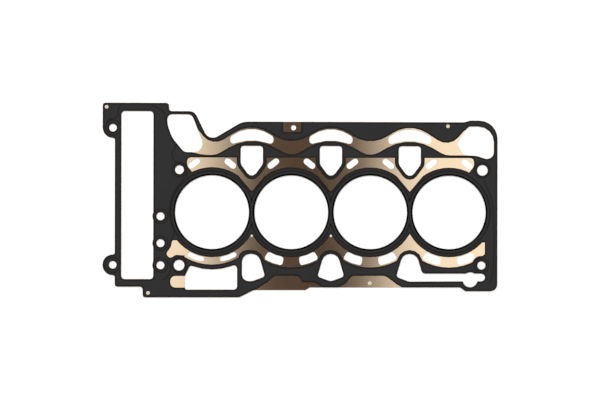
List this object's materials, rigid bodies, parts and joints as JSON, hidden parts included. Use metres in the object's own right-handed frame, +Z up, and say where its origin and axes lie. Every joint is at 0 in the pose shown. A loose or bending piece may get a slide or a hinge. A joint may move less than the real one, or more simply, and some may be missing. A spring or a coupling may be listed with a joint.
{
  "type": "cylinder head gasket",
  "caption": "Multi-layer steel cylinder head gasket for a four-cylinder in-line engine: bare carrier sheet, black embossed top sheet with windows, and rivets.",
  "frame": {"origin": "on the underside, midway between the second and third bores", "axes": "+X along the row of bores towards the flywheel end, +Y across the block towards the side with the long straight edge, +Z up, out of the face that meets the cylinder head"},
  "size_m": [0.4541, 0.223, 0.0012],
  "materials": {
    "elastomer_coat": "matte black elastomer coat on spring steel",
    "bare_steel": "bright rolled stainless steel",
    "rivet_steel": "bright steel"
  },
  "bodies": {
    "root": {"formed_layer": "elastomer_coat", "carrier_layer": "bare_steel", "rivets": "rivet_steel"}
  },
  "joints": []
}
